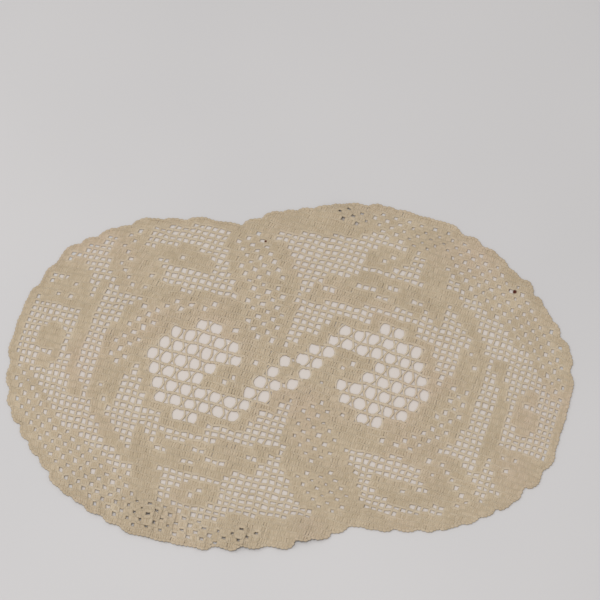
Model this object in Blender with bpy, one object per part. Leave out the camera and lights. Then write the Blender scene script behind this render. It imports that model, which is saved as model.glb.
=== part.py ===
"""A crocheted lace doily lying flat: one sheet of two overlapping round lobes, with a stepped edge.

The real thing is filet crochet, a net of small square meshes worked row by row in one cotton thread.
The sheet's shape is worked out on that net. A place on it is (across, down) in meshes from the doily's
middle. The posts of the net stand at whole numbers across, and row r runs from r - 0.5 to r + 0.5
down. Half a turn about the middle brings the doily's layout onto itself, but for the edge, which is
worked and pulled a little unevenly. lay() says where a place of the net lies on the table.
"""
import math

import bmesh
import bpy
import numpy as np

# The sheet
THICKNESS = 0.0018

# The net, in the middle of the doily
MESH_WIDE = 0.00639
MESH_TALL = 0.00609
NET_TURN = math.radians(-18)

# Outwards the meshes shrink, and the net runs out of true, as washed lace does. These are the
# amounts at 30 meshes across (a = 1) and 25 meshes down (b = 1).
LAY_ACROSS = 30
LAY_DOWN = 25
WIDE_LOSS_ACROSS = 0.05
WIDE_LOSS_DOWN = 0.072
TALL_LOSS_ACROSS = 0.043
TALL_LOSS_DOWN = 0.049
COLUMN_BOW = 0.0062
COLUMN_CURL = 0.0011
ROW_TILT = 0.0011
ROW_DROOP = 0.0041
ROW_CLIMB = 0.0021
ROW_SKEW = 0.0052
ROW_FAN = 0.0066

# The lower left lobe is an ellipse with a flat top, and the upper right one is its half-turned copy
LOBE_MIDDLE = (-9.15, 3.8)
LOBE_HALF_LENGTH = 29.9
LOBE_HALF_WIDTH = 27.2
LOBE_TURN = math.radians(3.7)
LOBE_FIRST_ROW = -20
LOBE_LAST_ROW = 30

# How many meshes further out than the ellipses the rows end, between these rows in even steps
ROW_EASES = [
    # row, at the left, at the right
    (-30, 0.0, -1.8),
    (-27, 0.1, 0.5),
    (-21, 0.2, 1.2),
    (-20, -1.5, 1.7),
    (-18, 1.0, 2.2),
    (-11, 2.0, 1.0),
    (-6, 0.3, 0.5),
    (1, 0.5, 0.0),
    (9, -0.3, 0.2),
    (18, 0.5, -0.6),
    (20, -0.3, -3.4),
    (21, -0.2, 0.0),
    (27, -0.1, 0.5),
    (30, -0.6, -1.7),
]

# A row's end moves by whole meshes: only when the outline has left it this far behind, and then it
# goes this far ahead of the outline
EDGE_LAG = 0.75
EDGE_LEAD = 0.5
CORNER_CUT = 1.0
CORNER_SHARE = 0.6

# Each lobe has a round field of large holes, two columns wide and two rows tall
FIELD_BANDS = [
    # middle down, first hole across, number of holes
    (-3.5, -13, 2),
    (-1.5, -16, 5),
    (0.5, -17, 6),
    (2.5, -18, 5),
    (4.5, -17, 4),
    (6.5, -16, 7),
    (8.5, -15, 6),
    (10.5, -12, 2),
]
# More of them lead from the field to the middle, beside a narrow closed stem
LINK_HOLES = [(-4, 4.5), (-2, 4.5), (-3, 2.5), (-1, 2.5), (-2, 0.5), (-1, -1.5)]
HOLE_PITCH = 2
HOLE_HALF_WIDTH = 0.70
HOLE_HALF_HEIGHT = 0.83
HOLE_CORNER_CUT = 0.38

COTTON_COLOUR = (0.48, 0.40, 0.27, 1.0)
COTTON_ROUGHNESS = 0.9


def clear_scene():
    for thing in list(bpy.data.objects):
        bpy.data.objects.remove(thing, do_unlink=True)


def lay(across, down):
    """Where a place of the net lies on the table, before the doily is centred."""
    a = across / LAY_ACROSS
    b = down / LAY_DOWN
    along = MESH_WIDE * across * (1 - WIDE_LOSS_ACROSS * a * a - WIDE_LOSS_DOWN * b * b)
    along += COLUMN_BOW * b * b - COLUMN_CURL * b**3
    up = -MESH_TALL * down * (1 - TALL_LOSS_ACROSS * a * a - TALL_LOSS_DOWN * b * b)
    up += ROW_TILT * a - ROW_DROOP * a * a + ROW_CLIMB * b * b + ROW_SKEW * a * b + ROW_FAN * a * b * b
    x = along * math.cos(NET_TURN) - up * math.sin(NET_TURN)
    y = along * math.sin(NET_TURN) + up * math.cos(NET_TURN)
    return x, y


def lobe_span(row):
    """Left and right end of the lower left lobe along a row."""
    down = row - LOBE_MIDDLE[1]
    c = math.cos(LOBE_TURN)
    s = math.sin(LOBE_TURN)
    by_length = 1 / LOBE_HALF_LENGTH**2
    by_width = 1 / LOBE_HALF_WIDTH**2
    square = c * c * by_length + s * s * by_width
    linear = down * c * s * (by_length - by_width)
    rest = down * down * (s * s * by_length + c * c * by_width) - 1
    middle = LOBE_MIDDLE[0] - linear / square
    half = math.sqrt(linear * linear - square * rest) / square
    return middle - half, middle + half


def left_reach(row):
    """How far left the two ellipses together reach along a row."""
    reaches = []
    if row >= LOBE_FIRST_ROW:
        reaches.append(lobe_span(row)[0])
    if -row >= LOBE_FIRST_ROW:
        reaches.append(-lobe_span(-row)[1])
    return min(reaches)


def stepped(reaches):
    """Whole-mesh row ends that follow a smooth outline in steps."""
    ends = [round(reaches[0])]
    for reach in reaches[1:]:
        left_behind = reach - ends[-1]
        if abs(left_behind) >= EDGE_LAG:
            ends.append(round(reach + math.copysign(EDGE_LEAD, left_behind)))
        else:
            ends.append(ends[-1])
    return ends


def side_ends(reach):
    """One side's row ends, keyed by row. They are worked out from the widest row up and down."""
    rows = sorted(reach)
    widest = max(rows, key=lambda row: abs(reach[row]))
    up = range(widest, rows[0] - 1, -1)
    down = range(widest, rows[-1] + 1)
    ends = dict(zip(up, stepped([reach[row] for row in up])))
    ends.update(zip(down, stepped([reach[row] for row in down])))
    return ends


def row_ends():
    """The left end and the right end of each row, each keyed by row."""
    rows = range(-LOBE_LAST_ROW, LOBE_LAST_ROW + 1)
    ease_rows, left_eases, right_eases = zip(*ROW_EASES)
    left = {row: left_reach(row) - np.interp(row, ease_rows, left_eases) for row in rows}
    right = {row: np.interp(row, ease_rows, right_eases) - left_reach(-row) for row in rows}
    return side_ends(left), side_ends(right)


def edge_corners():
    """Corners of the stepped edge on the net, clockwise from the top row's right end."""
    left, right = row_ends()
    rows = sorted(left)
    corners = []
    for row in rows:
        corners += [(right[row], row - 0.5), (right[row], row + 0.5)]
    for row in reversed(rows):
        corners += [(left[row], row + 0.5), (left[row], row - 0.5)]
    kept = []
    for i, corner in enumerate(corners):
        before = corners[i - 1]
        after = corners[(i + 1) % len(corners)]
        straight = (before[0] == corner[0] == after[0]) or (before[1] == corner[1] == after[1])
        if corner != before and not straight:
            kept.append(corner)
    return kept


def toward(start, end):
    """The point on the way from a corner to the next one where the cut of the corner begins."""
    length = math.dist(start, end)
    share = min(CORNER_CUT, CORNER_SHARE * length) / length
    return start[0] + share * (end[0] - start[0]), start[1] + share * (end[1] - start[1])


def edge_outline():
    """The edge with each outward corner cut off, as the thread draws it in."""
    corners = edge_corners()
    points = []
    for i, corner in enumerate(corners):
        before = corners[i - 1]
        after = corners[(i + 1) % len(corners)]
        came = (corner[0] - before[0], corner[1] - before[1])
        goes = (after[0] - corner[0], after[1] - corner[1])
        if came[0] * goes[1] > came[1] * goes[0]:
            points += [toward(corner, before), toward(corner, after)]
        else:
            points.append(corner)
    return points


def large_holes():
    """Middles of all large holes on the net, those of the upper right lobe included."""
    holes = list(LINK_HOLES)
    for down, first, count in FIELD_BANDS:
        holes += [(first + HOLE_PITCH * i, down) for i in range(count)]
    return holes + [(-across, -down) for across, down in holes]


def hole_outline(place):
    """Eight corners of one large hole on the net: a rectangle with its corners cut off."""
    corners = []
    for across, down in ((1, 1), (-1, 1), (-1, -1), (1, -1)):
        near_side = (across * HOLE_HALF_WIDTH, down * (HOLE_HALF_HEIGHT - HOLE_CORNER_CUT))
        near_end = (across * (HOLE_HALF_WIDTH - HOLE_CORNER_CUT), down * HOLE_HALF_HEIGHT)
        pair = [near_side, near_end] if across == down else [near_end, near_side]
        corners += [(place[0] + x, place[1] + y) for x, y in pair]
    return corners


def add_slab(mesh, outline, bottom, top, middle):
    """Add an upright slab to a bmesh: its outline is given on the net, and it is centred on middle."""
    corners = []
    for across, down in outline:
        x, y = lay(across, down)
        corners.append(mesh.verts.new((x - middle[0], y - middle[1], bottom)))
    face = mesh.faces.new(corners)
    raised = bmesh.ops.extrude_face_region(mesh, geom=[face])["geom"]
    lifted = [part for part in raised if isinstance(part, bmesh.types.BMVert)]
    bmesh.ops.translate(mesh, verts=lifted, vec=(0, 0, top - bottom))


def finish_object(mesh, name):
    bmesh.ops.recalc_face_normals(mesh, faces=mesh.faces)
    data = bpy.data.meshes.new(name)
    mesh.to_mesh(data)
    mesh.free()
    thing = bpy.data.objects.new(name, data)
    bpy.context.scene.collection.objects.link(thing)
    return thing


def cotton_material():
    material = bpy.data.materials.new("cotton")
    material.use_nodes = True
    shader = material.node_tree.nodes["Principled BSDF"]
    shader.inputs["Base Color"].default_value = COTTON_COLOUR
    shader.inputs["Roughness"].default_value = COTTON_ROUGHNESS
    shader.inputs["Metallic"].default_value = 0.0
    return material


def hole_cutter(middle):
    """One guide object with a slab for each large hole."""
    mesh = bmesh.new()
    for place in large_holes():
        add_slab(mesh, hole_outline(place), -THICKNESS, 2 * THICKNESS, middle)
    cutter = finish_object(mesh, "hole_cutter")
    cutter.hide_render = True
    cutter.display_type = "WIRE"
    return cutter


def doily():
    outline = edge_outline()
    laid = [lay(across, down) for across, down in outline]
    middle = [(min(axis) + max(axis)) / 2 for axis in zip(*laid)]
    mesh = bmesh.new()
    add_slab(mesh, outline, 0, THICKNESS, middle)
    sheet = finish_object(mesh, "doily")
    sheet.data.materials.append(cotton_material())
    holes = sheet.modifiers.new("large_holes", "BOOLEAN")
    holes.operation = "DIFFERENCE"
    holes.solver = "EXACT"
    holes.object = hole_cutter(middle)
    return sheet


clear_scene()
doily()
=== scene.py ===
# %% [markdown]
# # A lace doily in filet crochet
# Filet crochet is a net of small square meshes, worked row by row in one cotton thread. An upright
# stitch, the post, stands at each side of a mesh, and a short chain joins the tops of the posts. A mesh
# with two more posts in it looks closed, so open and closed meshes draw a picture, as squares on chart
# paper do. This lesson charts such a picture, copies a post and a chain stitch a few thousand times,
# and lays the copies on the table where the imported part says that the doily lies.

import functools
import math

import bmesh
import bpy
import numpy as np
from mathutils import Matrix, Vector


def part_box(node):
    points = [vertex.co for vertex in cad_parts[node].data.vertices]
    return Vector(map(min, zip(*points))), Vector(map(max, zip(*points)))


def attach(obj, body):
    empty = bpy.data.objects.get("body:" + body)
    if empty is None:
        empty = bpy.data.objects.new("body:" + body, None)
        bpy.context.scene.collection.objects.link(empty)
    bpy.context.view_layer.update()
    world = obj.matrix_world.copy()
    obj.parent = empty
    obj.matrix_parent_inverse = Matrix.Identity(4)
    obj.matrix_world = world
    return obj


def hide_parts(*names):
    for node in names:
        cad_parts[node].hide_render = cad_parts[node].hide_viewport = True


MM_PER_METRE = 1000


def in_mm(lengths):
    return [round(MM_PER_METRE * float(length), 1) for length in lengths]


def add_object(name, data):
    thing = bpy.data.objects.new(name, data)
    bpy.context.scene.collection.objects.link(thing)
    return thing


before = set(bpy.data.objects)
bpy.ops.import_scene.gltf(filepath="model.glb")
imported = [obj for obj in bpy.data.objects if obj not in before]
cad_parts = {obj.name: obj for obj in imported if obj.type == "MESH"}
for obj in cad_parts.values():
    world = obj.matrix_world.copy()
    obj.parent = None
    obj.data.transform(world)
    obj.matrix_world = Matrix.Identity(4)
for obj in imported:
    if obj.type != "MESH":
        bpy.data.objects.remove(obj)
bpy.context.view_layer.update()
doily_low, doily_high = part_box("doily")
print("packed solids:", sorted(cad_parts))
print("the doily's box in mm:", in_mm(high - low for low, high in zip(doily_low, doily_high)))

# %% [markdown]
# ## Camera
# The camera looks steeply down at the table, with the doily a little below the middle of the view. A
# wide lens from close by would make the near lobe much larger than the far one, so a long lens is used
# from more than two metres away. The camera comes before everything else, so that each later step can
# be looked at as soon as it is made.

# %% Camera
CAMERA_PLACE = (0.0083, -1.0939, 2.1390)
CAMERA_TILT = math.radians(28.5)
CAMERA_LENS = 174.76
SENSOR_WIDTH = 36

camera_data = bpy.data.cameras.new("camera")
camera_data.lens = CAMERA_LENS
camera_data.sensor_width = SENSOR_WIDTH
camera = add_object("camera", camera_data)
camera.location = CAMERA_PLACE
camera.rotation_euler = (CAMERA_TILT, 0, 0)
bpy.context.scene.camera = camera
print("from the camera to the doily's middle in metres:", round(camera.location.length, 2))

# %% [markdown]
# ## Light
# Lace is drawn by its shadows, so the light has to be soft but not shadowless. A sun would draw them
# too hard, and a bright world alone would wash them out. So one wide lamp hangs over the viewer's side
# of the table, a weaker one adds a little from the left, and a pale world lightens the shadows. The
# plain view transform keeps the colours as the materials give them.

# %% Light
LAMP_WIDTH = 0.9
LAMPS = [
    # (name, place, power)
    ("table_light", (-0.28, -0.65, 2.45), 31.5),
    ("side_light", (-1.3, 0.4, 1.5), 5),
]
WORLD_COLOUR = (1.0, 0.99, 0.98, 1)
WORLD_STRENGTH = 0.48


def area_light(name, place, power):
    """A round lamp that shines at the doily's middle, which is at the origin."""
    data = bpy.data.lights.new(name, "AREA")
    data.shape = "DISK"
    data.size = LAMP_WIDTH
    data.energy = power
    lamp = add_object(name, data)
    lamp.location = place
    lamp.rotation_euler = lamp.location.to_track_quat("Z", "Y").to_euler()
    print(name, "is", round(lamp.location.length, 2), "metres away")


for name, place, power in LAMPS:
    area_light(name, place, power)

world = bpy.data.worlds.new("studio")
world.use_nodes = True
background = world.node_tree.nodes["Background"]
background.inputs["Color"].default_value = WORLD_COLOUR
background.inputs["Strength"].default_value = WORLD_STRENGTH
bpy.context.scene.world = world
bpy.context.scene.view_settings.view_transform = "Standard"

# %% [markdown]
# ## Making materials
# Both materials here are made of the same few nodes. They could be added and wired one by one, but the
# wiring would hide the recipe. So one helper adds a node and fills its sockets, each with a value or
# with what comes out of another node. Two more mix colours and stretch a part of a value's range.

# %% Node helpers
def new_material(name):
    material = bpy.data.materials.new(name)
    material.use_nodes = True
    return material, material.node_tree.nodes["Principled BSDF"]


def fill_sockets(node, **sockets):
    """Fill named sockets. _0 and _1 stand for the first and second one, where both have one name."""
    for key, value in sockets.items():
        socket = node.inputs[int(key[1:]) if key.startswith("_") else key.replace("_", " ")]
        if isinstance(value, bpy.types.NodeSocket):
            node.id_data.links.new(value, socket)
        else:
            socket.default_value = value


def add_node(material, kind, settings=None, **sockets):
    node = material.node_tree.nodes.new(f"ShaderNode{kind}")
    for key, value in (settings or {}).items():
        setattr(node, key, value)
    fill_sockets(node, **sockets)
    return node


def mix_colours(material, factor, first, second):
    mix = add_node(material, "Mix", {"data_type": "RGBA"}, Factor=factor, A=first, B=second)
    return mix.outputs["Result"]


def spread(material, value, span):
    """Stretch the part of a value between the span's two ends to 0..1."""
    node = add_node(material, "MapRange", Value=value, From_Min=span[0], From_Max=span[1])
    return node.outputs["Result"]


# %% [markdown]
# ## Floor
# The table is covered with smooth pale paper. Nothing bends it, so one big face is all that its shape
# needs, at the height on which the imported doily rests.

# %% Floor
FLOOR_SIZE = 8.0

floor_mesh = bmesh.new()
bmesh.ops.create_grid(floor_mesh, x_segments=1, y_segments=1, size=FLOOR_SIZE / 2)
bmesh.ops.translate(floor_mesh, verts=floor_mesh.verts, vec=(0, 0, doily_low[2]))
floor_data = bpy.data.meshes.new("floor")
floor_mesh.to_mesh(floor_data)
floor_mesh.free()
floor = add_object("floor", floor_data)
print("floor faces:", len(floor_data.polygons), " size in metres:", FLOOR_SIZE)

# %% [markdown]
# ## Paper
# One flat grey would look like no material at all. A slow noise changes the paper's tone a little, and
# a fine one gives it a tooth. Under the doily the paper is painted a slightly warmer tone, painted warm
# light bounced off the cotton, which shows in the holes. That patch could be painted on an image, but
# two ellipses do: a mapping node turns each of them into a circle of radius 1, so a place's distance
# tells inside from outside.

# %% Paper material
PAPER_TONES = ((0.55, 0.54, 0.545, 1), (0.63, 0.615, 0.615, 1))
PAPER_ROUGHNESS = 0.85
# painted warm light bounced off the cotton, laid on the paper under the doily
BOUNCE_TONE = (0.635, 0.58, 0.54, 1)
BOUNCE_LOBES = [
    # (middle x, middle y, half length, half width, turn) in metres and radians
    (-0.070, -0.0065, 0.163, 0.1445, -0.53),
    (0.072, 0.0074, 0.161, 0.140, -0.61),
]
BOUNCE_SPAN = (1.0, 0.96)

paper, paper_shader = new_material("pale_paper")
place = add_node(paper, "TexCoord").outputs["Object"]
clouds = add_node(paper, "TexNoise", Vector=place, Scale=3.0, Detail=2.0).outputs["Fac"]
tooth = add_node(paper, "TexNoise", Vector=place, Scale=900.0, Detail=1.0).outputs["Fac"]
relief = add_node(paper, "Bump", Height=tooth, Strength=0.15, Distance=0.0003).outputs["Normal"]
tone = mix_colours(paper, clouds, *PAPER_TONES)
# each ellipse marks where the painted bounce light lies under one lobe
for x, y, half_length, half_width, turn in BOUNCE_LOBES:
    into_lobe = add_node(
        paper,
        "Mapping",
        {"vector_type": "TEXTURE"},
        Vector=place,
        Location=(x, y, 0),
        Rotation=(0, 0, turn),
        Scale=(half_length, half_width, 1),
    )
    far_out = add_node(paper, "VectorMath", {"operation": "LENGTH"}, _0=into_lobe.outputs["Vector"])
    tone = mix_colours(paper, spread(paper, far_out.outputs["Value"], BOUNCE_SPAN), tone, BOUNCE_TONE)
fill_sockets(paper_shader, Base_Color=tone, Normal=relief, Roughness=PAPER_ROUGHNESS)
floor_data.materials.append(paper)
print("nodes in the paper:", len(paper.node_tree.nodes))

# %% [markdown]
# ## The net on the table
# A place on the net is (across, down), counted in meshes from the doily's middle. The posts stand at
# whole numbers across, and row r runs from r - 0.5 to r + 0.5 down. A perfect net would be a plain
# grid, but a worked, washed and dried one isn't: its meshes shrink outwards and its rows bend. The
# function lay() says where a place of the net lies on the table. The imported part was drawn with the
# same numbers, so the thread lies just where its solid does.

# %% Where a place of the net lies
MESH_WIDE = 0.00639
MESH_TALL = 0.00609
NET_TURN = math.radians(-18)
# what follows says how far the net is out of true at 30 meshes across and 25 down
LAY_ACROSS = 30
LAY_DOWN = 25
WIDE_LOSS_ACROSS = 0.05
WIDE_LOSS_DOWN = 0.072
TALL_LOSS_ACROSS = 0.043
TALL_LOSS_DOWN = 0.049
COLUMN_BOW = 0.0062
COLUMN_CURL = 0.0011
ROW_TILT = 0.0011
ROW_DROOP = 0.0041
ROW_CLIMB = 0.0021
ROW_SKEW = 0.0052
ROW_FAN = 0.0066


def lay(across, down):
    """Where a place of the net lies on the table, before the doily is centred."""
    a = across / LAY_ACROSS
    b = down / LAY_DOWN
    along = MESH_WIDE * across * (1 - WIDE_LOSS_ACROSS * a * a - WIDE_LOSS_DOWN * b * b)
    along += COLUMN_BOW * b * b - COLUMN_CURL * b**3
    up = -MESH_TALL * down * (1 - TALL_LOSS_ACROSS * a * a - TALL_LOSS_DOWN * b * b)
    up += ROW_TILT * a - ROW_DROOP * a * a + ROW_CLIMB * b * b + ROW_SKEW * a * b + ROW_FAN * a * b * b
    x = along * math.cos(NET_TURN) - up * math.sin(NET_TURN)
    y = along * math.sin(NET_TURN) + up * math.cos(NET_TURN)
    return x, y


for across in (0, LAY_ACROSS):
    wide = math.dist(lay(across - 0.5, 0), lay(across + 0.5, 0))
    print("a mesh", across, "meshes from the middle is", round(MM_PER_METRE * wide, 2), "mm wide")

# %% [markdown]
# ## The outline
# The outline is two lobes that overlap, and half a turn brings one onto the other. It could be drawn as
# a curve of many points, but a lobe is an ellipse, and a formula says where any row crosses it.

# %% The two lobes
LOBE_MIDDLE = (-9.15, 3.8)
LOBE_HALF_LENGTH = 29.9
LOBE_HALF_WIDTH = 27.2
LOBE_TURN = math.radians(3.7)
LOBE_FIRST_ROW = -20


def lobe_span(row):
    """Left and right end of the lower left lobe along a row."""
    down = row - LOBE_MIDDLE[1]
    c = math.cos(LOBE_TURN)
    s = math.sin(LOBE_TURN)
    by_length = 1 / LOBE_HALF_LENGTH**2
    by_width = 1 / LOBE_HALF_WIDTH**2
    square = c * c * by_length + s * s * by_width
    linear = down * c * s * (by_length - by_width)
    rest = down * down * (s * s * by_length + c * c * by_width) - 1
    middle = LOBE_MIDDLE[0] - linear / square
    half = math.sqrt(linear * linear - square * rest) / square
    return middle - half, middle + half


def left_reach(row):
    """How far left the two lobes together reach along a row."""
    reaches = []
    if row >= LOBE_FIRST_ROW:
        reaches.append(lobe_span(row)[0])
    if -row >= LOBE_FIRST_ROW:
        reaches.append(-lobe_span(-row)[1])
    return min(reaches)


print("the middle row reaches this many meshes to the left:", round(-left_reach(0), 1))

# %% [markdown]
# ## Ends of the rows
# Crochet can only begin and end a row at a whole mesh, so the smooth outline becomes a stair. Plain
# rounding would let it waver in and out, so it is worked out from the widest row up and down, as a
# maker widens or narrows the work, and it steps only when the outline has left it behind. Hand work is
# never quite even, so a short table lets some rows end a little further out or in.

# %% Row ends
LAST_ROW = 30
ROWS = range(-LAST_ROW, LAST_ROW + 1)
ROW_EASES = [
    # (row, meshes further out at the left, at the right)
    (-30, 0.0, -1.8),
    (-27, 0.1, 0.5),
    (-21, 0.2, 1.2),
    (-20, -1.5, 1.7),
    (-18, 1.0, 2.2),
    (-11, 2.0, 1.0),
    (-6, 0.3, 0.5),
    (1, 0.5, 0.0),
    (9, -0.3, 0.2),
    (18, 0.5, -0.6),
    (20, -0.3, -3.4),
    (21, -0.2, 0.0),
    (27, -0.1, 0.5),
    (30, -0.6, -1.7),
]
EDGE_LAG = 0.75
EDGE_LEAD = 0.5


def stepped(reaches):
    """Whole-mesh row ends that follow a smooth outline in steps."""
    ends = [round(reaches[0])]
    for reach in reaches[1:]:
        left_behind = reach - ends[-1]
        if abs(left_behind) >= EDGE_LAG:
            ends.append(round(reach + math.copysign(EDGE_LEAD, left_behind)))
        else:
            ends.append(ends[-1])
    return ends


def side_ends(reach):
    """One side's row ends, keyed by row."""
    widest = max(ROWS, key=lambda row: abs(reach[row]))
    up = range(widest, -LAST_ROW - 1, -1)
    down = range(widest, LAST_ROW + 1)
    ends = dict(zip(up, stepped([reach[row] for row in up])))
    ends.update(zip(down, stepped([reach[row] for row in down])))
    return ends


ease_rows, left_eases, right_eases = zip(*ROW_EASES)
left_end = side_ends({row: left_reach(row) - np.interp(row, ease_rows, left_eases) for row in ROWS})
right_end = side_ends({row: np.interp(row, ease_rows, right_eases) - left_reach(-row) for row in ROWS})
print("rows:", len(ROWS), " widest row in meshes:", max(right_end[r] - left_end[r] for r in ROWS))

# %% [markdown]
# ## The edge as a line
# The ends of the rows, joined up, give the stair as one closed line. A sharp stair would look cut from
# card. At each step outwards the thread pulls the corner in, so the outward corners are cut off, and
# the inward ones stay.

# %% The edge as a line
CORNER_CUT = 1.0
CORNER_SHARE = 0.6


def edge_corners():
    """Corners of the stair on the net, without those in the middle of a straight run."""
    corners = []
    for row in ROWS:
        corners += [(right_end[row], row - 0.5), (right_end[row], row + 0.5)]
    for row in reversed(ROWS):
        corners += [(left_end[row], row + 0.5), (left_end[row], row - 0.5)]
    kept = []
    for i, corner in enumerate(corners):
        before = corners[i - 1]
        after = corners[(i + 1) % len(corners)]
        straight = (before[0] == corner[0] == after[0]) or (before[1] == corner[1] == after[1])
        if corner != before and not straight:
            kept.append(corner)
    return kept


def toward(start, end):
    """The point on the way from a corner to the next one where the cut of the corner begins."""
    length = math.dist(start, end)
    share = min(CORNER_CUT, CORNER_SHARE * length) / length
    return start[0] + share * (end[0] - start[0]), start[1] + share * (end[1] - start[1])


def edge_outline():
    """The stair with its outward corners cut off."""
    corners = edge_corners()
    points = []
    for i, corner in enumerate(corners):
        before = corners[i - 1]
        after = corners[(i + 1) % len(corners)]
        came = (corner[0] - before[0], corner[1] - before[1])
        goes = (after[0] - corner[0], after[1] - corner[1])
        if came[0] * goes[1] > came[1] * goes[0]:
            points += [toward(corner, before), toward(corner, after)]
        else:
            points.append(corner)
    return points


outline = edge_outline()
laid = np.array([lay(across, down) for across, down in outline])
laid_middle = (laid.min(axis=0) + laid.max(axis=0)) / 2
print("points of the outline:", len(outline), " laid outline in mm:", in_mm(np.ptp(laid, axis=0)))

# %% [markdown]
# ## The chart
# The chart holds one number for each mesh: outside the doily, open, closed, or part of a large hole.
# Filling it mesh by mesh would take a table of thousands of numbers. Instead, it is painted as a
# maker sketches it on squared paper: broad strokes for stems, leaves and bands, each along a smooth
# line with its own width. What is painted on the lower left lobe appears on the upper right one too,
# turned by half a turn.

# %% An empty chart
OUTSIDE, OPEN, CLOSED, HOLE = range(4)
FIRST_CELL = -40
CELLS = 80

chart = np.full((len(ROWS), CELLS), OUTSIDE)
chart_across, chart_down = np.meshgrid(np.arange(CELLS) + FIRST_CELL + 0.5, np.array(ROWS, float))
checks = np.add.outer(np.arange(len(ROWS)), np.arange(CELLS)) % 2 == 0
for row in ROWS:
    chart[row + LAST_ROW, left_end[row] - FIRST_CELL : right_end[row] - FIRST_CELL] = OPEN
print("meshes inside the outline:", int((chart == OPEN).sum()))


# %% Painting on the chart
def smooth_line(points, steps=12):
    """Catmull-Rom curve through (across, down, half width) points."""
    p = np.array([points[0], *points, points[-1]], float)
    share = np.linspace(0, 1, steps)[:, None]
    parts = []
    for a, b, c, d in zip(p, p[1:], p[2:], p[3:]):
        bend = (2 * a - 5 * b + 4 * c - d) * share**2 + (3 * b - a - 3 * c + d) * share**3
        parts.append(0.5 * (2 * b + (c - a) * share + bend))
    return np.concatenate(parts)


def stroke(points, narrower=0.0):
    """The meshes whose middle lies inside a brush stroke."""
    inside = np.zeros(chart.shape, bool)
    for across, down, half in smooth_line(points):
        inside |= np.hypot(chart_across - across, chart_down - down) < half - narrower
    return inside


def with_partner(meshes):
    """The meshes and their half-turned partners."""
    return meshes | meshes[::-1, ::-1]


def paint(meshes, kind, only=True):
    chart[with_partner(meshes) & (chart != OUTSIDE) & only] = kind


def paint_checks(meshes):
    paint(meshes, CLOSED)
    paint(meshes, OPEN, checks)


# %% [markdown]
# ## The picture
# The picture is a made-up one in the manner of such doilies: a broad chequered arm comes down from
# the top edge and ends in a tongue inside the round field. Stems curl round the field, and leaves with
# open veins fill the corners. Each row of the table is one stroke: how it is filled, and its points
# with half widths, in meshes. A rimmed stroke is chequered inside a closed rim.

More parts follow.
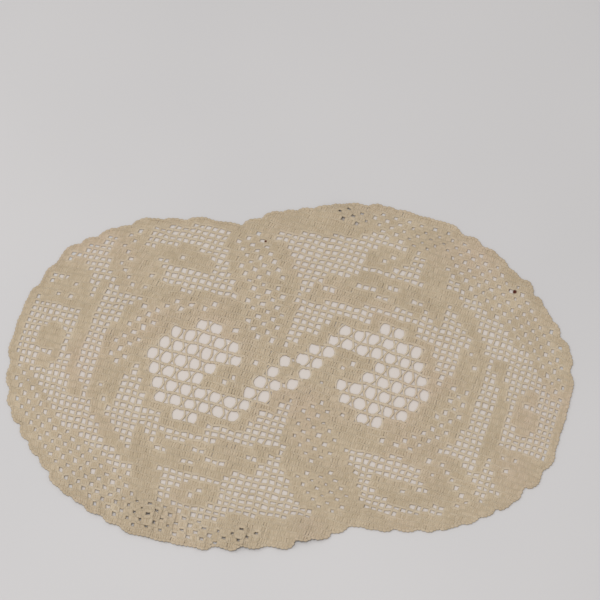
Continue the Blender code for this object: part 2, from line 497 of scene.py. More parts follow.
# %% Strokes of the picture
CHECKS, LINE, OPENED, RIMMED = "checks", "line", "opened", "rimmed"
RIM = 1.2
STROKES = [
    # (filling, points of (across, down, half width))
    (
        CHECKS,
        [(-36.8, 9.5, 1.4), (-34.2, 14.5, 3.3), (-28.4, 20.6, 4.7), (-20.4, 25.0, 5.2), (-12, 27.4, 4.2)],
    ),
    (CHECKS, [(-12, 27.4, 4.2), (-6.5, 28.2, 3.2), (-3, 28.6, 2.0)]),
    (RIMMED, [(-12.6, -19.5, 2.8), (-9.9, -16, 3.9), (-7.3, -12.8, 4.0), (-6.3, -9.5, 4.0)]),
    (RIMMED, [(-6.3, -9.5, 4.0), (-5.4, -6, 3.5), (-4.7, -3.4, 2.8), (-4.2, -1, 2.2)]),
    (LINE, [(-4.2, -1, 2.2), (-5.2, 2.2, 2.0), (-8.6, 4.0, 1.4)]),
    (OPENED, [(-4.9, -0.5, 0.5), (-5.3, 2.4, 0.5), (-7.6, 3.8, 0.5)]),
    (
        RIMMED,
        [(-9.0, -6.6, 1.4), (-15, -6.2, 1.9), (-20.2, -3.4, 2.6), (-22.3, 2.0, 2.8), (-22.6, 7.0, 2.0)],
    ),
    (LINE, [(-22.6, 7.0, 1.6), (-21.5, 11, 0.8)]),
    (LINE, [(-24.6, 6, 0.8), (-23.8, 11, 0.8), (-20.5, 16, 0.8), (-17.0, 18.5, 0.9)]),
    (LINE, [(-28.2, -5.5, 0.7), (-29.2, 0, 0.8), (-28.6, 6, 0.8), (-26.8, 11, 0.7)]),
    (
        RIMMED,
        [(-28.0, -17.5, 1.8), (-27.8, -13, 2.2), (-26.4, -9.2, 2.1), (-23, -6.9, 1.7), (-19, -7.4, 0.8)],
    ),
    (LINE, [(-23.6, -13.2, 0.9), (-21.6, -13.1, 1.8), (-18.0, -13.3, 1.7), (-15.8, -12.6, 0.7)]),
    (OPENED, [(-22.6, -12.2, 0.5), (-21.4, -12.2, 0.5)]),
    (OPENED, [(-20.0, -13.0, 0.5), (-19.0, -13.2, 0.5)]),
    (LINE, [(-25.2, -12.6, 0.8), (-23.4, -10.6, 0.9), (-21.2, -9.4, 0.6)]),
    (LINE, [(-36.6, -7.4, 0.6), (-33.8, -7.7, 1.4), (-31.9, -6.0, 1.0), (-30.6, -4.6, 0.7)]),
    (RIMMED, [(-37.6, -3.4, 1.2), (-34.0, -3.3, 1.8), (-30.5, -2.8, 1.1)]),
    (LINE, [(-33.0, 1.8, 0.8), (-32.8, 4.4, 2.1), (-32.8, 6.6, 1.7)]),
    (OPENED, [(-34.2, 6.0, 0.5), (-32.4, 6.0, 0.5)]),
    (LINE, [(-16.5, 14.5, 0.9), (-14.9, 17.5, 1.9), (-14.2, 21, 1.9), (-13.4, 23.6, 1.5)]),
    (LINE, [(-13.5, 14.6, 0.7), (-10, 15.2, 1.1), (-6.5, 14.4, 1.3), (-3, 13.4, 0.8)]),
    (OPENED, [(-8.9, 14.9, 0.5), (-7.4, 14.6, 0.5)]),
    (LINE, [(-12.5, 17.6, 0.7), (-8, 18.0, 1.0), (-4.6, 17.4, 0.7)]),
    (LINE, [(-3.8, 16.5, 0.7), (-1.6, 14.5, 1.9), (1.2, 12, 0.6)]),
    (OPENED, [(-1.6, 14.5, 0.5), (-0.4, 13.6, 0.5)]),
    (LINE, [(-9.2, 23.0, 0.9), (-6.8, 21.6, 2.0), (-4.2, 20.6, 0.8)]),
    (OPENED, [(-7.6, 21.8, 0.5), (-6.2, 21.2, 0.5)]),
    (LINE, [(-5, 29.4, 1.8), (0, 27.0, 3.4), (5, 25.6, 3.0), (10, 22.8, 2.1), (14, 20.4, 1.2)]),
    (CHECKS, [(0.4, 26.4, 1.1), (2.0, 26.4, 1.1)]),
]

for filling, points in STROKES:
    if filling == CHECKS:
        paint_checks(stroke(points))
    elif filling == RIMMED:
        paint(stroke(points), CLOSED)
        paint_checks(stroke(points, RIM))
    else:
        paint(stroke(points), OPEN if filling == OPENED else CLOSED)
print("strokes:", len(STROKES), " meshes closed so far:", int((chart == CLOSED).sum()))

# %% [markdown]
# ## Large holes, ring and border
# The large holes are two meshes wide and two rows tall. They fill a round field in each lobe, and a
# few more lead from each field to the doily's middle. A closed ring runs round them, so that the wide
# openings have something firm to hang on. A closed border runs along the edge, with a short line of
# small holes in it at the bottom and at the top. Ring and border could be strokes too, but they follow
# the holes and the edge everywhere, so they are found by distance from those.

# %% Large holes
FIELD_BANDS = [
    # (middle down, first hole across, number of holes)
    (-3.5, -13, 2),
    (-1.5, -16, 5),
    (0.5, -17, 6),
    (2.5, -18, 5),
    (4.5, -17, 4),
    (6.5, -16, 7),
    (8.5, -15, 6),
    (10.5, -12, 2),
]
LINK_HOLES = [(-4, 4.5), (-2, 4.5), (-3, 2.5), (-1, 2.5), (-2, 0.5), (-1, -1.5)]
HOLE_PITCH = 2

holes = list(LINK_HOLES)
for down, first, count in FIELD_BANDS:
    holes += [(first + HOLE_PITCH * i, down) for i in range(count)]
holes += [(-across, -down) for across, down in holes]

hole_meshes = np.zeros(chart.shape, bool)
for across, down in holes:
    top = int(down - 0.5) + LAST_ROW
    side = across - 1 - FIRST_CELL
    hole_meshes[top : top + 2, side : side + 2] = True
print("large holes:", len(holes), " meshes that they take:", int(hole_meshes.sum()))

# %% Ring and border
RING_REACH = 1.5
BORDER_REACH = 1.5
WIDE_BORDER_REACH = 3.1
WIDE_BORDER_FROM = (6, 1)
BORDER_HOLES = [(-9.5, 27.6, 1.2), (-5.5, 28.2, 1.2), (-1.5, 27.8, 1.1), (1.5, 27.2, 1.1)]


def near(meshes, reach, beyond=False):
    """The meshes within reach of the given ones. beyond says whether those off the chart are given."""
    steps = int(reach)
    around = np.pad(meshes, steps, constant_values=beyond)
    found = np.zeros(meshes.shape, bool)
    tall, wide = meshes.shape
    for i in range(-steps, steps + 1):
        for j in range(-steps, steps + 1):
            if math.hypot(i, j) < reach:
                found |= around[steps + i : steps + i + tall, steps + j : steps + j + wide]
    return found


outside = chart == OUTSIDE
lower_right = (chart_across > WIDE_BORDER_FROM[0]) & (chart_down > WIDE_BORDER_FROM[1])
border = near(outside, BORDER_REACH, beyond=True)
border |= near(outside, WIDE_BORDER_REACH, beyond=True) & lower_right
chart[border & ~outside] = CLOSED
paint_checks(stroke(BORDER_HOLES))
paint(near(hole_meshes, RING_REACH), CLOSED)
chart[hole_meshes] = HOLE
print("open, closed and hole meshes:", [int((chart == kind).sum()) for kind in (OPEN, CLOSED, HOLE)])

# %% [markdown]
# ## Where the thread runs
# Four kinds of stitch make the doily. Posts stand at both sides of a mesh, with two more in a closed
# one. Chains lie between one row and the next. In a large hole, two bowed arms replace the posts. A
# chain edging follows the outline. The stitches could be made while the chart is read, but a list of
# where each one starts and ends is easier to check. A post over a cut corner is shortened to the
# outline, and what stands at the edge is tucked in a little, so that the edging covers it.

# %% Spans of the net inside the outline
SLIGHTLY = 0.1
SHORTEST_POST = 0.25
TUCK_IN = 0.15


@functools.cache
def spans_down(across):
    """Where a line down the net runs inside the outline. One along a row's end is moved inwards."""
    if across in left_end.values() or across in right_end.values():
        across += SLIGHTLY if across < 0 else -SLIGHTLY
    crossings = []
    for (a0, d0), (a1, d1) in zip(outline, outline[1:] + outline[:1]):
        if (a0 <= across) != (a1 <= across):
            crossings.append(d0 + (d1 - d0) * (across - a0) / (a1 - a0))
    crossings.sort()
    return list(zip(crossings[::2], crossings[1::2]))


print("down the middle, the doily runs from row to row:", spans_down(0))

# %% [markdown]
# ## Loose and tight stitches
# A stitch between two open meshes is pulled thin, and one between two closed meshes can't be, so each
# gets a kind: the number of closed sides that it has. Nor is hand work equally tight everywhere. Along
# one broad stem and at a few places in the border, the lone open meshes are pulled nearly shut. The
# stitches beside those have a wider kind of their own, TIGHT.

# %% Tight places
TIGHT = 3
TIGHT_STEM = [(3.4, -2.0, 4.6), (5.2, 5.0, 5.0), (7.2, 12.8, 5.4), (12.0, 19.0, 5.2)]
TIGHT_BORDER = [
    [(-14.0, 26.2, 2.6), (-10.8, 27.2, 2.8)],
    [(-0.6, 27.6, 2.2), (2.4, 26.6, 2.2)],
]

is_tight = stroke(TIGHT_STEM)
for points in TIGHT_BORDER:
    is_tight |= with_partner(stroke(points))
print("meshes in tight places:", int((is_tight & ~outside).sum()))


def kind_at(row, cell):
    return chart[row + LAST_ROW, cell - FIRST_CELL]


def stitch_kind(closed_sides, row, cell):
    """The closed sides of a post or chain, or TIGHT if it has one of them in a tight place."""
    tight = closed_sides == 1 and is_tight[row + LAST_ROW, cell - FIRST_CELL]
    return TIGHT if tight else closed_sides


# %% List the posts
posts = []


def add_post(across, row, kind, inwards=0.0):
    """List the part of a post that is inside the outline, if it is long enough to be worked."""
    for top, bottom in spans_down(across):
        start = max(top + TUCK_IN, row - 0.5)
        end = min(bottom - TUCK_IN, row + 0.5)
        if end - start > SHORTEST_POST:
            posts.append((across + inwards, start, end, row, kind))


for row in ROWS:
    for cell in range(left_end[row], right_end[row] + 1):
        before, here = kind_at(row, cell - 1), kind_at(row, cell)
        if before != HOLE or here != HOLE:
            firm_sides = sum(kind in (CLOSED, OUTSIDE) for kind in (before, here))
            inwards = TUCK_IN * (int(before == OUTSIDE) - int(here == OUTSIDE))
            add_post(cell, row, stitch_kind(firm_sides, row, cell), inwards)
        if here == CLOSED:
            add_post(cell + 1 / 3, row, 2)
            add_post(cell + 2 / 3, row, 2)
print("posts:", len(posts))

# %% List the chains and arms
chains = []
for row in ROWS[:-1]:
    first = max(left_end[row], left_end[row + 1])
    last = min(right_end[row], right_end[row + 1])
    for cell in range(first, last):
        in_hole = (cell, row + 0.5) in holes or (cell + 1, row + 0.5) in holes
        if not in_hole:
            closed_sides = sum(kind_at(side, cell) == CLOSED for side in (row, row + 1))
            start = cell + TUCK_IN * (cell == first)
            end = cell + 1 - TUCK_IN * (cell == last - 1)
            chains.append((start, end, row, stitch_kind(closed_sides, row, cell)))
arms = [(across, down, side) for across, down in holes for side in (-1, 1)]
print("chains:", len(chains), " arms:", len(arms))

# %% [markdown]
# ## One stitch of each kind
# A stitch is a knot of several strands, which would be far too heavy a few thousand times. A short
# tube with the knot's outer shape does instead. A cone with equal ends makes it, and flat cuts across
# it add the rings of points that give it waists and swellings. Six or seven sides are enough: the
# twist of the thread is left to the material.

# %% A tube with rings
FULL_TURN = 2 * math.pi


def tube(sides, rings):
    """A closed tube as arrays: where its points are round it and along it, and its faces' corners."""
    mesh = bmesh.new()
    bmesh.ops.create_cone(mesh, cap_ends=True, segments=sides, radius1=1, radius2=1, depth=1)
    for share in rings[1:-1]:
        everything = mesh.verts[:] + mesh.edges[:] + mesh.faces[:]
        bmesh.ops.bisect_plane(mesh, geom=everything, plane_co=(0, 0, share - 0.5), plane_no=(0, 0, 1))
    bmesh.ops.recalc_face_normals(mesh, faces=mesh.faces)
    mesh.verts.index_update()
    points = np.array([vert.co[:] for vert in mesh.verts])
    faces = [[vert.index for vert in face.verts] for face in mesh.faces]
    mesh.free()
    angle = np.arctan2(points[:, 1], points[:, 0]) % FULL_TURN
    return {
        "rings": rings,
        "angle": angle,
        "share": points[:, 2] + 0.5,
        # a quarter keeps the rounding clear of halves
        "side": np.rint(angle / FULL_TURN * sides + 0.25).astype(int) % sides,
        "corners": np.concatenate(faces),
        "begins": np.cumsum([0] + [len(face) for face in faces[:-1]]),
    }


post_tube = tube(6, [0.0, 0.2, 0.4, 0.6, 0.8, 1.0])
chain_tube = tube(7, [0.0, 0.17, 0.33, 0.5, 0.67, 0.83, 1.0])
arm_tube = tube(6, [0.0, 0.12, 0.25, 0.38, 0.5, 0.62, 0.75, 0.88, 1.0])
for name, made in (("post", post_tube), ("chain", chain_tube), ("arm", arm_tube)):
    print(name, "has", len(made["angle"]), "points and", len(made["begins"]), "faces")

# %% [markdown]
# ## An uneven net
# Hand work is a little uneven. Moving each stitch by itself would tear the net, so it is the net that
# is moved, and neighbours go with it: by slow waves, and by a small random drift of each knot where
# post and chain meet. Nor does the doily lie quite flat. It rises in slow waves, its lower border is
# rippled and ribbed, and at four places the edge stands off the table.

# %% Wander
SEED = 11
MARGIN = 3
KNOT_DRIFT_ACROSS = 0.11
KNOT_DRIFT_DOWN = 0.16
WANDER = 0.075
WAVES = [
    # (turn per mesh across, turn per mesh down, start, share)
    (0.61, 0.23, 0.4, 0.40),
    (-0.34, 0.71, 2.1, 0.40),
    (0.93, -0.52, 4.4, 0.30),
    (0.17, -1.18, 1.3, 0.30),
    (1.31, 0.44, 5.2, 0.22),
]

rng = np.random.default_rng(SEED)
knots = rng.uniform(-1, 1, (2, len(ROWS) + 1 + 2 * MARGIN, CELLS + 1 + 2 * MARGIN))


def between_knots(values, across, down):
    """The value at a place from those of the four knots round it."""
    j = across - FIRST_CELL + MARGIN
    i = down + 0.5 + LAST_ROW + MARGIN
    left, top = j.astype(int), i.astype(int)
    right_share, low_share = j - left, i - top
    upper = values[top, left] * (1 - right_share) + values[top, left + 1] * right_share
    lower = values[top + 1, left] * (1 - right_share) + values[top + 1, left + 1] * right_share
    return upper * (1 - low_share) + lower * low_share


def wave(by_across, by_down, start, across, down):
    return np.sin(by_across * across + by_down * down + start)


def wander(across, down):
    """Where a place of the even net is on the uneven one."""
    move_across = sum(share * wave(i, j, start, across, down) for i, j, start, share in WAVES)
    move_down = sum(share * wave(j, -i, 2 * start, across, down) for i, j, start, share in WAVES)
    across_drift = KNOT_DRIFT_ACROSS * between_knots(knots[0], across, down)
    down_drift = KNOT_DRIFT_DOWN * between_knots(knots[1], across, down)
    return across + WANDER * move_across + across_drift, down + WANDER * move_down + down_drift


moved = np.hypot(*np.subtract(wander(chart_across, chart_down), (chart_across, chart_down)))
print("a place of the net moves by up to", round(float(moved.max()), 2), "meshes")

# %% Lift
SLOW_HEIGHT = 0.00015
SLOW_WAVES = ((0.21, 0.13, 1.0), (-0.09, 0.17, 0.0))
RIPPLE_FIRST_ROW = 21
RIPPLE_FULL_ROW = 27
RIPPLE_HEIGHT = 0.0005
RIPPLE_WAVE = 2.4
RIPPLE_SHIFT = 0.6
RIPPLE_SHIFT_WAVE = 0.7
RIB_HEIGHT = 0.00016
LIFTS = [
    # (across, down, reach across, reach down, height in metres)
    (-12.6, 27.0, 2.1, 1.9, 0.0042),
    (0.6, 27.0, 2.2, 2.0, 0.0036),
    (8.2, 24.2, 2.4, 2.0, 0.0036),
    (-2.4, -26.6, 2.6, 2.2, 0.0038),
]


def lift(across, down):
    """How high the underside of the cloth is above the table."""
    first, second = SLOW_WAVES
    height = SLOW_HEIGHT * (1 + wave(*first, across, down) * wave(*second, across, down))
    rippled = np.clip((down - RIPPLE_FIRST_ROW) / (RIPPLE_FULL_ROW - RIPPLE_FIRST_ROW), 0, 1)
    ripple = np.sin(RIPPLE_WAVE * across + RIPPLE_SHIFT * np.sin(RIPPLE_SHIFT_WAVE * across))
    height = height + RIPPLE_HEIGHT * rippled * (1 + ripple)
    height = height + RIB_HEIGHT * rippled * (1 + np.cos(FULL_TURN * across))
    for place_across, place_down, reach_across, reach_down, top in LIFTS:
        away = ((across - place_across) / reach_across) ** 2 + ((down - place_down) / reach_down) ** 2
        height = height + top * np.exp(-away)
    return height


def on_table(across, down):
    """Where a place of the uneven net lies: x, y and the height of the cloth there."""
    x, y = lay(*wander(across, down))
    return x - laid_middle[0], y - laid_middle[1], lift(across, down) + doily_low[2]


print("highest place of the cloth in mm:", in_mm([lift(chart_across, chart_down)[~outside].max()]))

# %% [markdown]
# ## Laying the thread
# Thousands of stitches are copies of one tube, each bent along its own line. As separate objects they
# would be slow, and an array modifier can't bend each in its own way. So numpy works on all copies at
# once: it finds the middle line of every copy, lays it on the table, and moves each point of the tube
# sideways and up from it. A chain's plies meet in a V along its top, so a grooved copy has its top
# points lowered and moved on a little, and the thread's direction mirrored about them.

# %% Copies of a tube along lines
STEP = 0.02
TOP_SIDE = 2
GROOVE_DEPTH = 0.35
GROOVE_POINT = 0.08


def copies(stitch, start, end, sizes, shares, turn=0.0, bow=0.0, twist=0.0, ridge=0.0, grooved=False):
    """All copies of one tube. start and end are (across, down), and sizes is (width, thickness,
    height), each with a value for each copy. shares are the parts of the width at the rings."""
    values = (*start, *end, *sizes, turn, bow)
    columns = [np.asarray(value, float).reshape(-1, 1) for value in values]
    across0, down0, across1, down1, width, thick, height, turn, bow = columns

    def middle_line(part):
        across = across0 + (across1 - across0) * part + bow * np.sin(math.pi * part)
        return on_table(across, down0 + (down1 - down0) * part)

    share, side, angle = stitch["share"], stitch["side"], stitch["angle"]
    round_it = angle + turn + twist * share
    swell = np.interp(share, stitch["rings"], shares) * (1 + ridge * np.where(side % 2, 1.0, -1.0))
    top = np.where(grooved & (side == TOP_SIDE), 1.0, 0.0)
    at = share + GROOVE_POINT * top * (share > 0) * (share < 1)
    x, y, z = middle_line(at)
    x1, y1, _ = middle_line(at + STEP)
    x0, y0, _ = middle_line(at - STEP)
    run = np.hypot(x1 - x0, y1 - y0)
    sideways = np.cos(round_it) * swell * width / 2
    upwards = np.sin(round_it) * swell * thick / 2 * (1 - GROOVE_DEPTH * top)
    x = x - (y1 - y0) / run * sideways
    y = y + (x1 - x0) / run * sideways
    length = np.hypot(*np.subtract(on_table(*end)[:2], on_table(*start)[:2]))
    around = angle / FULL_TURN
    if grooved:
        # turns away from the top, which is a quarter turn round
        around = np.abs((around + 0.25) % 1 - 0.5)
    return {
        "stitch": stitch,
        "points": np.stack([x, y, z + height + upwards], axis=2),
        "along": share * length[:, None],
        "around": np.broadcast_to(around, x.shape),
    }


# %% [markdown]
# ## Posts
# A post is a thread wrapped round two others. Crochet cotton of this kind is a bit over half a
# millimetre thick, so a post pressed flat by washing is a millimetre high and two to four wide. In the
# open net it is thin and swells at both ends, where it meets the chains. Between closed meshes it has
# two waists, which leave a slit on each side. One width for all would be simpler, but then net and
# closed cloth would look alike. Small random changes of size, lean and turn keep the copies from
# looking stamped, and twist and ridge let the plies show.

# %% Posts
POST_KINDS = [
    # (closed sides or TIGHT, width, its shares at the rings)
    (0, 0.0021, [1.25, 1.0, 0.94, 0.94, 1.0, 1.25]),
    (1, 0.0028, [1.12, 0.96, 0.98, 0.96, 0.95, 1.12]),
    (2, 0.0026, [1.04, 0.82, 1.0, 0.98, 0.82, 1.04]),
    (TIGHT, 0.0038, [1.08, 0.96, 0.98, 0.96, 0.95, 1.08]),
]
POST_THICK = 0.0010
POST_HEIGHT = 0.00058
POST_UNEVEN = (0.07, 0.08, 0.05)
POST_TWIST = 1.6
LEAN = 0.04
PLY_RIDGE = 0.07


def uneven(count, sizes, shares):
    """Width, thickness and height of each copy, every one off by up to its share."""
    return [size * (1 + share * rng.uniform(-1, 1, count)) for size, share in zip(sizes, shares)]


def looseness(kind):
    """From 1 for a stitch between open meshes to 0 for one in closed cloth."""
    return max(1 - kind / 2, 0)


made_stitches = []
post_across, post_start, post_end, post_row, post_kind = np.array(posts).T
for kind, width, shares in POST_KINDS:
    chosen = post_kind == kind
    count = int(chosen.sum())
    lean = rng.uniform(-LEAN, LEAN, (2, count))
    made = copies(
        post_tube,
        (post_across[chosen] + lean[0], post_start[chosen]),
        (post_across[chosen] + lean[1], post_end[chosen]),
        uneven(count, (width, POST_THICK, POST_HEIGHT), POST_UNEVEN),
        shares,
        turn=rng.uniform(0, FULL_TURN, count),
        twist=POST_TWIST,
        ridge=PLY_RIDGE,
    )
    made_stitches.append({**made, "row": post_row[chosen], "loose": looseness(kind)})
    print("posts of kind", kind, "made:", count)

# %% [markdown]
# ## Chains
# A chain is two threads side by side with a third below, made of small loops, so it is a row of three
# lumps with a groove along its top. Each reaches a little past its ends, so that neighbours meet. In
# closed cloth the posts on both sides press it narrow, and in a tight place it is widest.

# %% Chains
CHAIN_KINDS = [
    # (closed sides or TIGHT, width, height of its middle)
    (0, 0.0026, 0.00075),
    (1, 0.0026, 0.00075),
    (2, 0.0021, 0.0007),
    (TIGHT, 0.0035, 0.00075),
]
CHAIN_THICK = 0.0011
CHAIN_SHARES = [0.86, 1.08, 0.86, 1.08, 0.86, 1.08, 0.86]
CHAIN_UNEVEN = (0.06, 0.06, 0.06)
CHAIN_PAST = 0.03

chain_start, chain_end, chain_row, chain_kind = np.array(chains).T
for kind, width, height in CHAIN_KINDS:
    chosen = chain_kind == kind
    count = int(chosen.sum())
    tilt = rng.uniform(-LEAN, LEAN, (2, count))
    down = chain_row[chosen] + 0.5
    made = copies(
        chain_tube,
        (chain_start[chosen] - CHAIN_PAST, down + tilt[0]),
        (chain_end[chosen] + CHAIN_PAST, down + tilt[1]),
        uneven(count, (width, CHAIN_THICK, height), CHAIN_UNEVEN),
        CHAIN_SHARES,
        grooved=True,
    )
    made_stitches.append({**made, "row": chain_row[chosen], "loose": looseness(kind)})
    print("chains of kind", kind, "made:", count)

# %% [markdown]
# ## Arms
# In a large hole the posts are missing, and two long arms hold the rows apart. The pull of the rows
# bows them outwards until they touch their neighbours, where a small knot ties them, and that makes
# the holes round. A bow on the tube's middle line gives this at once, so no curve is needed.

# %% Arms
ARM_WIDTH = 0.0016
ARM_THICK = 0.0010
ARM_SHARES = [1.15, 0.95, 1.0, 1.05, 1.35, 1.05, 1.0, 0.95, 1.15]
ARM_UNEVEN = (0.08, 0.08, 0.05)
ARM_FOOT = 0.42
ARM_BOW = 0.42
ARM_SHIFT = 0.07
ARM_TWIST = 2.5
# the arms' looseness is set above 1, so that they are painted paler still, as painted light
ARM_LOOSE_LIGHT = 1.3

arm_across, arm_down, arm_side = np.array(arms).T
foot = arm_across + arm_side * ARM_FOOT
shift = rng.uniform(-ARM_SHIFT, ARM_SHIFT, (2, len(arms)))
made = copies(
    arm_tube,
    (foot + shift[0], arm_down - 1),
    (foot + shift[1], arm_down + 1),
    uneven(len(arms), (ARM_WIDTH, ARM_THICK, POST_HEIGHT), ARM_UNEVEN),
    ARM_SHARES,
    turn=rng.uniform(0, FULL_TURN, len(arms)),
    bow=arm_side * ARM_BOW + rng.uniform(-ARM_SHIFT, ARM_SHIFT, len(arms)),
    twist=ARM_TWIST,
    ridge=PLY_RIDGE,
)
made_stitches.append({**made, "row": np.floor(arm_down), "loose": ARM_LOOSE_LIGHT})
print("arms made:", len(arms), " mean length in mm:", in_mm([made["along"].max(axis=1).mean()]))

# %% [markdown]
# ## The chain edging
# A last round of chain runs along the stair of the outline and rounds its corners. One smooth tube
# would look like a cord. So the outline is cut into pieces that are shorter than a mesh is wide, and
# each gets one copy of the chain stitch, swollen in its middle, which makes the edging lumpy.

# %% Chain edging
EDGING_PIECE = 0.62
EDGING_SIZES = (0.0022, 0.0012, 0.0008)
EDGING_SHARES = [0.72, 0.98, 1.22, 1.36, 1.22, 0.98, 0.72]
EDGING_UNEVEN = (0.08, 0.06, 0.06)


def even_steps(points, piece):
    """Walk round a closed line in equal pieces: the (across, down) where each one begins."""
    closed = np.array([*points, points[0]], float).T
    lengths = np.hypot(*np.diff(closed))
    reached = np.concatenate([[0], np.cumsum(lengths)])
    at = np.linspace(0, reached[-1], round(reached[-1] / piece), endpoint=False)
    return np.array([np.interp(at, reached, axis) for axis in closed])


walk = even_steps(outline, EDGING_PIECE)
onwards = np.roll(walk, -1, axis=1)
past = CHAIN_PAST * (onwards - walk)
edging_sizes = uneven(walk.shape[1], EDGING_SIZES, EDGING_UNEVEN)
made = copies(chain_tube, walk - past, onwards + past, edging_sizes, EDGING_SHARES, grooved=True)
edging_rows = np.clip(np.rint(walk[1]), -LAST_ROW, LAST_ROW)
made_stitches.append({**made, "row": edging_rows, "loose": 0})
print("edging pieces:", walk.shape[1])

# %% [markdown]
# ## Joining the copies
# Thousands of copies could be joined with the join operator, but meshes built straight from the arrays
# are ready in seconds. Besides its points and faces, each mesh gets a UV map, which runs along the
# thread in millimetres and once round it, and a tint: a random number for each stitch, plus its
# looseness. The material uses both.

# %% Meshes from arrays
def over_the_seam(around, begins):
    """Turns at the corners of faces, a full turn more where a face crosses the end of the turn."""
    sizes = np.diff([*begins, around.shape[1]])
    lowest = np.repeat(np.minimum.reduceat(around, begins, axis=1), sizes, axis=1)
    highest = np.repeat(np.maximum.reduceat(around, begins, axis=1), sizes, axis=1)
    return np.where((highest - lowest > 0.5) & (around < 0.5), around + 1, around)


def fill(items, name, arrays, kind=np.float32):
    """Set one property of all items of a mesh."""
    items.foreach_set(name, np.concatenate(arrays).astype(kind).ravel())


def joined_mesh(name, groups):
    """One mesh from (copies, chosen) pairs."""
    points, corners, begins, thread_uv, tints = [], [], [], [], []
    first_point = first_corner = 0
    for made, chosen in groups:
        stitch = made["stitch"]
        count, size, flat = int(chosen.sum()), len(stitch["angle"]), stitch["corners"]
        number = np.arange(count)[:, None]
        points.append(made["points"][chosen].reshape(-1, 3))
        corners.append((flat + number * size + first_point).ravel())
        begins.append((stitch["begins"] + number * len(flat) + first_corner).ravel())
        along = made["along"][chosen][:, flat] * MM_PER_METRE
        around = over_the_seam(made["around"][chosen][:, flat], stitch["begins"])
        thread_uv.append(np.stack([along.ravel(), around.ravel()], axis=1))
        tints.append(np.repeat(rng.uniform(0, 1, count) + made["loose"], size))
        first_point += count * size
        first_corner += count * len(flat)
    mesh = bpy.data.meshes.new(name)
    mesh.vertices.add(first_point)
    mesh.loops.add(first_corner)
    mesh.polygons.add(sum(len(part) for part in begins))
    fill(mesh.vertices, "co", points)
    fill(mesh.loops, "vertex_index", corners, np.int32)
    fill(mesh.polygons, "loop_start", begins, np.int32)
    mesh.update(calc_edges=True)
    fill(mesh.uv_layers.new(name="thread").data, "uv", thread_uv)
    fill(mesh.attributes.new("tint", "FLOAT", "POINT").data, "value", tints)
    mesh.shade_smooth()
    mesh.validate()
    return mesh


# %% [markdown]
# ## Cotton
# Undyed cotton is matt and a little uneven, and it is twisted from plies. The plies could be modelled,
# but they are finer than the points of a stitch, so they are bands in the material: they run slantwise
# over the thread's own UV map, both as painted shade in the grooves and as bump.

# %% Plies
PLY_PITCH = 0.75
PLIES_ROUND = 3.4

cotton, cotton_shader = new_material("crochet_cotton")
thread_uv = add_node(cotton, "UVMap", {"uv_map": "thread"}).outputs["UV"]
ply_map = add_node(cotton, "Mapping", Vector=thread_uv, Scale=(1 / PLY_PITCH, PLIES_ROUND, 1))
ply_split = add_node(cotton, "SeparateXYZ", Vector=ply_map.outputs["Vector"]).outputs
ply_sum = add_node(cotton, "Math", {"operation": "ADD"}, _0=ply_split["X"], _1=ply_split["Y"])
ply_wave = add_node(cotton, "Math", {"operation": "PINGPONG"}, _0=ply_sum.outputs["Value"], _1=0.5)
plies = ply_wave.outputs["Value"]
print("a ply comes back every", PLY_PITCH, "mm along the thread")

# %% [markdown]
# ## Tones of the cotton
# The tone drifts slowly over the doily between a pale and a deep one, and has rosier patches. Loose
# threads let light through and catch it from all sides, so they are painted paler, as painted light.
# Last, painted shade darkens the grooves between the plies, more on some stitches at random and less
# on loose ones. Every mix takes its factor from the part of a value that lies within a span.

# %% Tones
COTTON_PALE = (0.580, 0.479, 0.350, 1)
COTTON_DEEP = (0.492, 0.400, 0.286, 1)
COTTON_ROSY = (0.568, 0.450, 0.342, 1)
# painted light: the tone of loose threads, as lit from all sides and through
LOOSE_PAINTED_LIGHT = (0.615, 0.530, 0.415, 1)
# painted shade, darkest in the grooves between the plies
COTTON_GROOVE_SHADE = (0.42, 0.335, 0.225, 1)
DRIFT_SPAN = (0.3, 0.7)
ROSY_SPAN = (0.5, 0.8)
LOOSE_LIGHT_SPAN = (0.9, 2.6)
STITCH_SPAN = (-1.2, 1.0)
PLY_SHADE_SPAN = (-0.35, 0.3)
SHADE_SPAN = (0.15, 0.95)

place = add_node(cotton, "TexCoord").outputs["Object"]
tint = add_node(cotton, "Attribute", {"attribute_name": "tint"}).outputs["Fac"]
drift = add_node(cotton, "TexNoise", Vector=place, Scale=38.0, Detail=3.0, Roughness=0.55)
patches = add_node(cotton, "TexNoise", Vector=place, Scale=14.0, Detail=1.0)
tone = mix_colours(cotton, spread(cotton, drift.outputs["Fac"], DRIFT_SPAN), COTTON_DEEP, COTTON_PALE)
tone = mix_colours(cotton, spread(cotton, patches.outputs["Fac"], ROSY_SPAN), tone, COTTON_ROSY)
# painted light: loose stitches are painted paler
tone = mix_colours(cotton, spread(cotton, tint, LOOSE_LIGHT_SPAN), tone, LOOSE_PAINTED_LIGHT)
# painted shade: the ply grooves are darkened, more on some stitches at random and less on loose ones
shade = add_node(
    cotton,
    "Math",
    {"operation": "MULTIPLY"},
    _0=spread(cotton, tint, STITCH_SPAN),
    _1=spread(cotton, plies, PLY_SHADE_SPAN),
)
tone = mix_colours(cotton, spread(cotton, shade.outputs["Value"], SHADE_SPAN), COTTON_GROOVE_SHADE, tone)
print("nodes in the cotton so far:", len(cotton.node_tree.nodes))

# %% [markdown]
# ## Rust spots
# Three small rust spots, marks of age, sit near the upper edge. Each could be a piece of its own, but
# rust is in the thread, not on it. So a spot is a ball round a place of the net, and the thread inside
# it is rust-brown. on_table() keeps it on the same stitches if the net changes.

# %% Rust spots
RUST = (0.075, 0.014, 0.006, 1)
RUST_CORE = 0.55
RUST_SPOTS = [
    # (across, down on the net, reach in metres)
    (26.0, -23.1, 0.0023),
    (25.3, -23.1, 0.0015),
    (-10.0, -19.0, 0.0013),
]

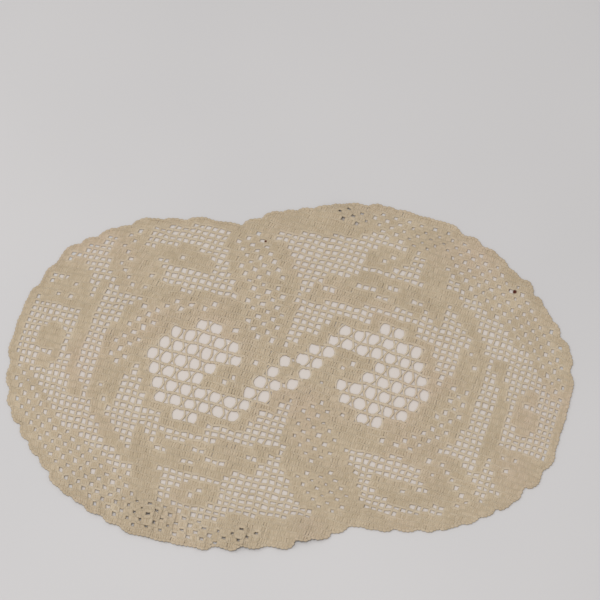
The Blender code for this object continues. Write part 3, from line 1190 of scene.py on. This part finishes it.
for across, down, reach in RUST_SPOTS:
    x, y, height = on_table(np.array(across), np.array(down))
    middle = (x, y, height + 2 * POST_HEIGHT)
    away = add_node(cotton, "VectorMath", {"operation": "DISTANCE"}, _0=place, _1=middle)
    rusty = spread(cotton, away.outputs["Value"], (reach, reach * RUST_CORE))
    tone = mix_colours(cotton, rusty, tone, RUST)
    print("a rust spot, in mm from the middle:", in_mm((x, y)))

# %% [markdown]
# ## Relief and sheen
# Fibres stand off the thread and catch the light, so a fine noise is added to the bump of the plies. A
# faint sheen stands for the fuzz, and a little light passes through the thin thread. These are the
# same all over, so they are set on the shader itself.

# %% Relief and sheen
fibres = add_node(cotton, "TexNoise", Vector=place, Scale=2600.0, Detail=2.0, Roughness=0.6)
relief = add_node(cotton, "Bump", Height=plies, Strength=0.8, Distance=0.00018)
relief = add_node(
    cotton,
    "Bump",
    Height=fibres.outputs["Fac"],
    Normal=relief.outputs["Normal"],
    Strength=0.5,
    Distance=0.00008,
)
fill_sockets(
    cotton_shader,
    Base_Color=tone,
    Normal=relief.outputs["Normal"],
    Roughness=0.9,
    Specular_IOR_Level=0.2,
    Subsurface_Weight=0.12,
    Subsurface_Radius=(1.0, 0.85, 0.7),
    Subsurface_Scale=0.0004,
    Sheen_Weight=0.15,
    Sheen_Roughness=0.5,
)
print("nodes in the cotton:", len(cotton.node_tree.nodes))

# %% [markdown]
# ## Bands of rows
# All the thread in one mesh would be too heavy to handle, and one object for each row would be many,
# so the doily is made of six bands of rows. Each band is a sheet of cloth that lies on the table, and
# its flat size is as long and as tall as its rows reach.

# %% Bands
BANDS = [(-30, -19), (-18, -10), (-9, -1), (0, 8), (9, 17), (18, 30)]

for number, (first_row, last_row) in enumerate(BANDS, 1):
    groups = []
    for made in made_stitches:
        chosen = (made["row"] >= first_row) & (made["row"] <= last_row)
        if chosen.any():
            groups.append((made, chosen))
    name = f"lace_rows_{number}"
    band_mesh = joined_mesh(name, groups)
    band_mesh.materials.append(cotton)
    band = add_object(name, band_mesh)
    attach(band, "root")
    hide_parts("doily")
    rows = range(first_row, last_row + 1)
    wide = max(right_end[row] for row in rows) - min(left_end[row] for row in rows)
    flat = (wide * MESH_WIDE, len(rows) * MESH_TALL)
    band_mesh.calc_loop_triangles()
    print(name, len(band_mesh.loop_triangles), "triangles, flat size in mm:", in_mm(flat))
